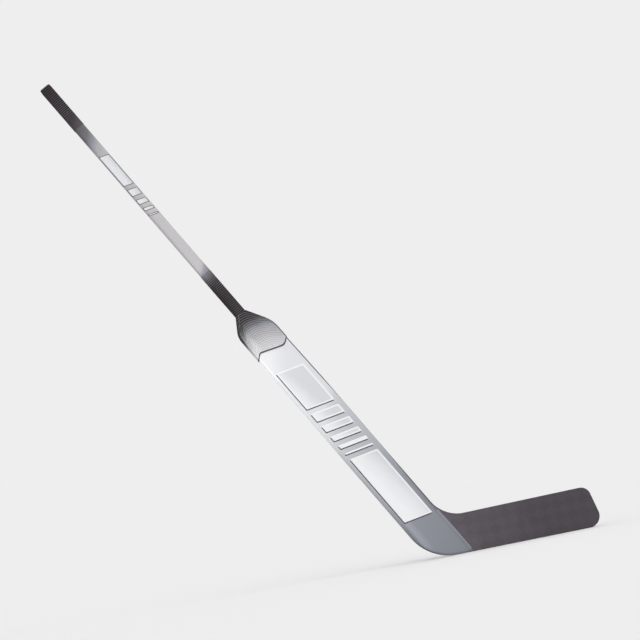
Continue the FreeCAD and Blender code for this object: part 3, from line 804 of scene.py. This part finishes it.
def shaft_film(border, lift, side):
    """Thin layers wrapped round the shaft's front or back, a border in from the bars' edges."""
    parts = []
    reach = SHAFT_BAR_REACH - border
    for low, high in SHAFT_BARS:
        bottom = low + border
        top = high - border
        section = ((bottom, -FILM_SINK), (bottom, lift), (top, lift), (top, -FILM_SINK))
        rings = []
        for step in range(SHAFT_BAR_STEPS + 1):
            place = reach * (2 * step / SHAFT_BAR_STEPS - 1)
            rings.append([shaft_surface(place, height, along, side) for along, height in section])
        parts.append(loft(rings, False))
    return merge(parts)


def shaft_bars(face, side, white, dark):
    """Bars of one side of the shaft: pale fields over dark ones that show as outlines."""
    layers = (("outlines", 0, OUTLINE_LIFT, dark), ("whites", SHAFT_BAR_BORDER, WHITE_LIFT, white))
    for name, border, lift, material in layers:
        vertices, faces = shaft_film(border, lift, side)
        add_piece(f"shaft_bar_{name}_{face}", vertices, faces, material)


# Ribbed collar
def smooth(share):
    """Smooth step from 0 to 1."""
    share = min(max(share, 0), 1)
    return share * share * (3 - 2 * share)


def collar_reader():
    """Function that reads the collar's outer surface for a column and a height."""
    mesh = nodes["shoulder_collar"].data
    tree = BVHTree.FromPolygons([vertex.co for vertex in mesh.vertices],
                                [polygon.vertices for polygon in mesh.polygons])

    def cast(across, along, direction):
        """Surface met on the way to the middle plane, coming from a direction across and in depth."""
        start = row_point(across + RAY_START * direction[0], RAY_START * direction[1], along)
        inward = -(ACROSS * direction[0] + DEPTH * direction[1])
        return tree.ray_cast(start, inward, RAY_START / 1000)[:2]

    def middle_line(along):
        """Ends of the collar's middle line, in from its two sides."""
        height = max(along, SKIRT_TOP)
        right = cast(0, height, (1, 0))[0]
        left = cast(0, height, (-1, 0))[0]
        return left.dot(ACROSS) * 1000 + MIDDLE_INSET, right.dot(ACROSS) * 1000 - MIDDLE_INSET

    def crown(across, along):
        """Depth that the faces have lost towards the outer side, fading out towards the tip."""
        inside = across - (middle_line(along)[0] - MIDDLE_INSET)
        if inside > CROWN_INSET:
            share = (max(CROWN_REACH - inside, 0) / (CROWN_REACH - CROWN_INSET)) ** 2
        else:
            share = smooth((inside - CROWN_EDGE) / (CROWN_INSET - CROWN_EDGE))
        return CROWN_DEPTH * share * smooth((CROWN_TOP - along) / CROWN_BLEND)

    def read(column, along):
        """Point, normal and crown of a column at a height, or no point below the hem."""
        share, direction = column
        left, right = middle_line(along)
        point, normal = cast(left + share * (right - left), along, direction)
        sink = 0 if point is None else crown(point.dot(ACROSS) * 1000, along)
        return point, normal, sink

    return read


def collar_columns():
    """Places round the collar: a share of its middle line and the direction outwards from there."""
    columns = []
    for step in range(FACE_STEPS + 1):
        columns.append((step / FACE_STEPS, (0, -1)))
    for step in range(1, SIDE_STEPS):
        turn = math.pi * (step / SIDE_STEPS - 0.5)
        columns.append((1, (math.cos(turn), math.sin(turn))))
    for step in range(FACE_STEPS + 1):
        columns.append((1 - step / FACE_STEPS, (0, 1)))
    for step in range(1, SIDE_STEPS):
        turn = math.pi * (step / SIDE_STEPS + 0.5)
        columns.append((0, (math.cos(turn), math.sin(turn))))
    return columns


def hem_height(read, column):
    """Lowest place along the shaft where the collar still covers a column."""
    low = HEM_LOWEST
    high = HEM_HIGHEST
    while high - low > HEM_TOLERANCE:
        middle = (low + high) / 2
        if read(column, middle)[0] is None:
            low = middle
        else:
            high = middle
    return high


def rib_point(read, column, along):
    """Point of the ribbed surface, sunk into grooves between the ribs that run out on the sides."""
    point, normal, sink = read(column, along)
    beside = point.dot(ACROSS) * 1000 - RIB_MIDDLE
    bend = RIB_OUTER_BEND if beside < 0 else RIB_INNER_BEND
    turns = (SHOULDER - along - bend * beside ** 2) / RIB_PITCH
    groove = RIB_DEPTH * (0.5 - 0.5 * math.cos(2 * math.pi * turns)) ** RIB_SHARPNESS
    groove *= smooth((abs(normal.y) - RIB_END_FACING) / RIB_FACING_SPAN)
    return point - normal * (sink + groove) / 1000


def lip_point(read, column, along, step_down):
    """Point of the smooth lip, a step below the surface."""
    point, normal, sink = read(column, along)
    return point - normal * (sink + step_down) / 1000


def inside_point(read, column, along):
    """Point of the inside: a full wall in from the faces and a thin one in from the sides."""
    point, normal = read(column, along)[:2]
    facing = abs(column[1][1])
    share = max(facing - WALL_START_FACING, 0) / WALL_FACING_SPAN
    wall = COLLAR_SIDE_WALL + share * (COLLAR_FACE_WALL - COLLAR_SIDE_WALL)
    return point - normal * wall / 1000


def ribbed_collar(paint, dark):
    """The collar as a closed shell: ribs outside, a smooth dark lip at the hem and a plain inside."""
    read = collar_reader()
    columns = collar_columns()
    hems = [hem_height(read, column) + HEM_GAP for column in columns]
    places = list(zip(columns, hems))
    tip = SHOULDER - TIP_GAP
    rings = []
    for step in range(RIB_STEPS + 1):
        share = step / RIB_STEPS
        rings.append([rib_point(read, column, tip + share * (hem + LIP_WIDTH - tip))
                      for column, hem in places])
    lip_start = (len(rings) - 1) * len(columns)
    lip = ((LIP_WIDTH - LIP_STEP, RIB_DEPTH), (LIP_WIDTH - LIP_ROUND, 0), (LIP_ROUND, 0), (0, LIP_ROUND))
    for height, step_down in lip:
        rings.append([lip_point(read, column, hem + height, step_down) for column, hem in places])
    for step in range(INSIDE_STEPS + 1):
        share = step / INSIDE_STEPS
        rings.append([inside_point(read, column, hem + share * (tip - hem)) for column, hem in places])
    vertices, faces = loft(rings, True)
    piece = add_piece("ribbed_collar", vertices, faces, paint, dark, lip_start)
    for polygon in piece.data.polygons:
        polygon.use_smooth = True
    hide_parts("shoulder_collar")


# Camera, light and floor: metres and degrees
CAMERA_AZIMUTH = -1.45
CAMERA_ELEVATION = -7.05
CAMERA_ROLL = -11.43
CAMERA_TARGET = (0.16970, 0, -0.04698)
CAMERA_DISTANCE = 3.4
CAMERA_LENS = 86.59
CAMERA_SENSOR = 36
CAMERA_FAR = 200
BACKDROP_TONE = (238, 238, 238)
AMBIENT = 0.78
KEY_TOWARDS = (0.40, -0.80, 0.45)
KEY_STRENGTH = 1.05
KEY_SPREAD = 60
CARD_SIZE = (0.16, 0.3)
CARD_ENERGY = 12.6
CARD_TOWARDS = (-0.29, -0.957, -0.04)
CARD_DISTANCE = 1.1
GLEAM_PLACE = (-30, -10, 630)
FLOOR_REACH = 120
FLOOR_GREY = 0.915


def place_camera():
    """Camera of the photograph, turned round its view's axis by the roll."""
    azimuth = math.radians(CAMERA_AZIMUTH)
    elevation = math.radians(CAMERA_ELEVATION)
    level_reach = math.cos(elevation)
    back = Vector((math.sin(azimuth) * level_reach, -math.cos(azimuth) * level_reach, math.sin(elevation)))
    right = (-back).cross(Vector((0, 0, 1))).normalized()
    upward = back.cross(right)
    data = bpy.data.cameras.new("camera")
    data.lens = CAMERA_LENS
    data.sensor_width = CAMERA_SENSOR
    data.clip_end = CAMERA_FAR
    camera = bpy.data.objects.new("camera", data)
    bpy.context.scene.collection.objects.link(camera)
    place = Matrix.Translation(Vector(CAMERA_TARGET) + CAMERA_DISTANCE * back)
    level = Matrix((right, upward, back)).transposed().to_4x4()
    camera.matrix_world = place @ level @ Matrix.Rotation(math.radians(CAMERA_ROLL), 4, "Z")
    bpy.context.scene.camera = camera


def add_lamp(data, towards):
    """Lamp that shines from a direction, which points from the object to the lamp."""
    lamp = bpy.data.objects.new(data.name, data)
    lamp.rotation_euler = towards.to_track_quat("Z", "Y").to_euler()
    bpy.context.scene.collection.objects.link(lamp)
    return lamp


def add_key():
    """Soft distant lamp."""
    data = bpy.data.lights.new("key", "SUN")
    data.energy = KEY_STRENGTH
    data.angle = math.radians(KEY_SPREAD)
    add_lamp(data, Vector(KEY_TOWARDS))


def add_gloss_card():
    """Softbox low on the outer side, seen only in gloss and aimed for a gleam on the collar's rounded
    side.
    """
    data = bpy.data.lights.new("gloss_card", "AREA")
    data.shape = "RECTANGLE"
    data.size, data.size_y = CARD_SIZE
    data.energy = CARD_ENERGY
    towards = Vector(CARD_TOWARDS).normalized()
    lamp = add_lamp(data, towards)
    lamp.location = row_point(*GLEAM_PLACE) + towards * CARD_DISTANCE
    lamp.visible_diffuse = False
    lamp.visible_shadow = False


def light_scene():
    """Even light from the world, which shows as a pale backdrop, with the key and the card."""
    world = bpy.data.worlds.new("studio")
    world.use_nodes = True
    tree = world.node_tree
    path = tree.nodes.new("ShaderNodeLightPath")
    seen = calculate(tree, "MAXIMUM", path.outputs["Is Camera Ray"], path.outputs["Is Glossy Ray"])
    seen = calculate(tree, "MAXIMUM", seen, path.outputs["Is Transmission Ray"])
    tint = mix(tree, seen, (AMBIENT, AMBIENT, AMBIENT, 1), colour(*BACKDROP_TONE))
    tree.links.new(tint, tree.nodes["Background"].inputs["Color"])
    bpy.context.scene.world = world
    add_key()
    add_gloss_card()


def add_floor():
    """Pale floor at the height of the sole."""
    mesh = bpy.data.meshes.new("floor")
    low = cad_box[0].z
    reach = FLOOR_REACH
    corners = [(-reach, -reach, low), (reach, -reach, low), (reach, reach, low), (-reach, reach, low)]
    mesh.from_pydata(corners, [], [(0, 1, 2, 3)])
    floor = bpy.data.objects.new("floor", mesh)
    bpy.context.scene.collection.objects.link(floor)
    material, _, shader = new_material("floor", roughness=1.0, specular=0.0)
    shader.inputs["Base Color"].default_value = (FLOOR_GREY, FLOOR_GREY, FLOOR_GREY, 1)
    mesh.materials.append(material)


def dress_nodes():
    """Materials of the pieces that keep their form from the frame."""
    foam = core_foam()
    carbon = blade_carbon()
    bare = laminate()
    face = paddle_paint("paddle_paint", roughness=0.42)
    rail = paddle_paint("rail_paint", roughness=0.32)
    filler = seam_filler()
    looks = {
        "shaft_tube": shaft_paint(),
        "butt_end_plug": dark_lacquer("plug_rubber", PLUG_TONE),
        "upper_grip": grip_rubber("upper_grip_rubber", UPPER_GRIP_RIB, UPPER_GRIP_CLEARING),
        "lower_grip": grip_rubber("lower_grip_rubber", LOWER_GRIP_RIB, LOWER_GRIP_CLEARING),
        "shoulder_collar": bare,
        "paddle_front_skin": face,
        "paddle_back_skin": face,
        "outer_rail": rail,
        "inner_rail": rail,
        "paddle_spine": bare,
        "paddle_core_outer": foam,
        "paddle_core_inner": foam,
        "heel_core": foam,
        "blade_front_skin": carbon,
        "blade_back_skin": carbon,
        "blade_edge_band": layered_edge(),
        "blade_bridge": bare,
        "blade_core_lower": foam,
        "blade_core_upper": foam,
        "seam_bead_front": filler,
        "seam_bead_back": filler,
    }
    for name, material in looks.items():
        nodes[name].data.materials.clear()
        nodes[name].data.materials.append(material)


def add_bars():
    """Generic bars on the front and the back."""
    white = bar_paint("bar_white", 0, BAR_WHITE_FADE)
    fill = bar_paint("bar_fill", BAR_FILL_DRIFT, BAR_FILL_FADE)
    silver = bar_paint("shaft_white", 0, SHAFT_WHITE_FADE)
    dark = dark_lacquer("bar_shadow", BAR_SHADOW_TONE)
    grey = dark_lacquer("bar_outline", BAR_OUTLINE_TONE)
    for face, side in (("front", -1), ("back", 1)):
        paddle_bars(face, side, fill, white, dark)
        shaft_bars(face, side, silver, grey)


bpy.context.scene.view_settings.view_transform = "Standard"
place_camera()
light_scene()
add_floor()
dress_nodes()
ribbed_collar(collar_paint(), dark_lacquer("lip_paint", LIP_TONE))
add_bars()
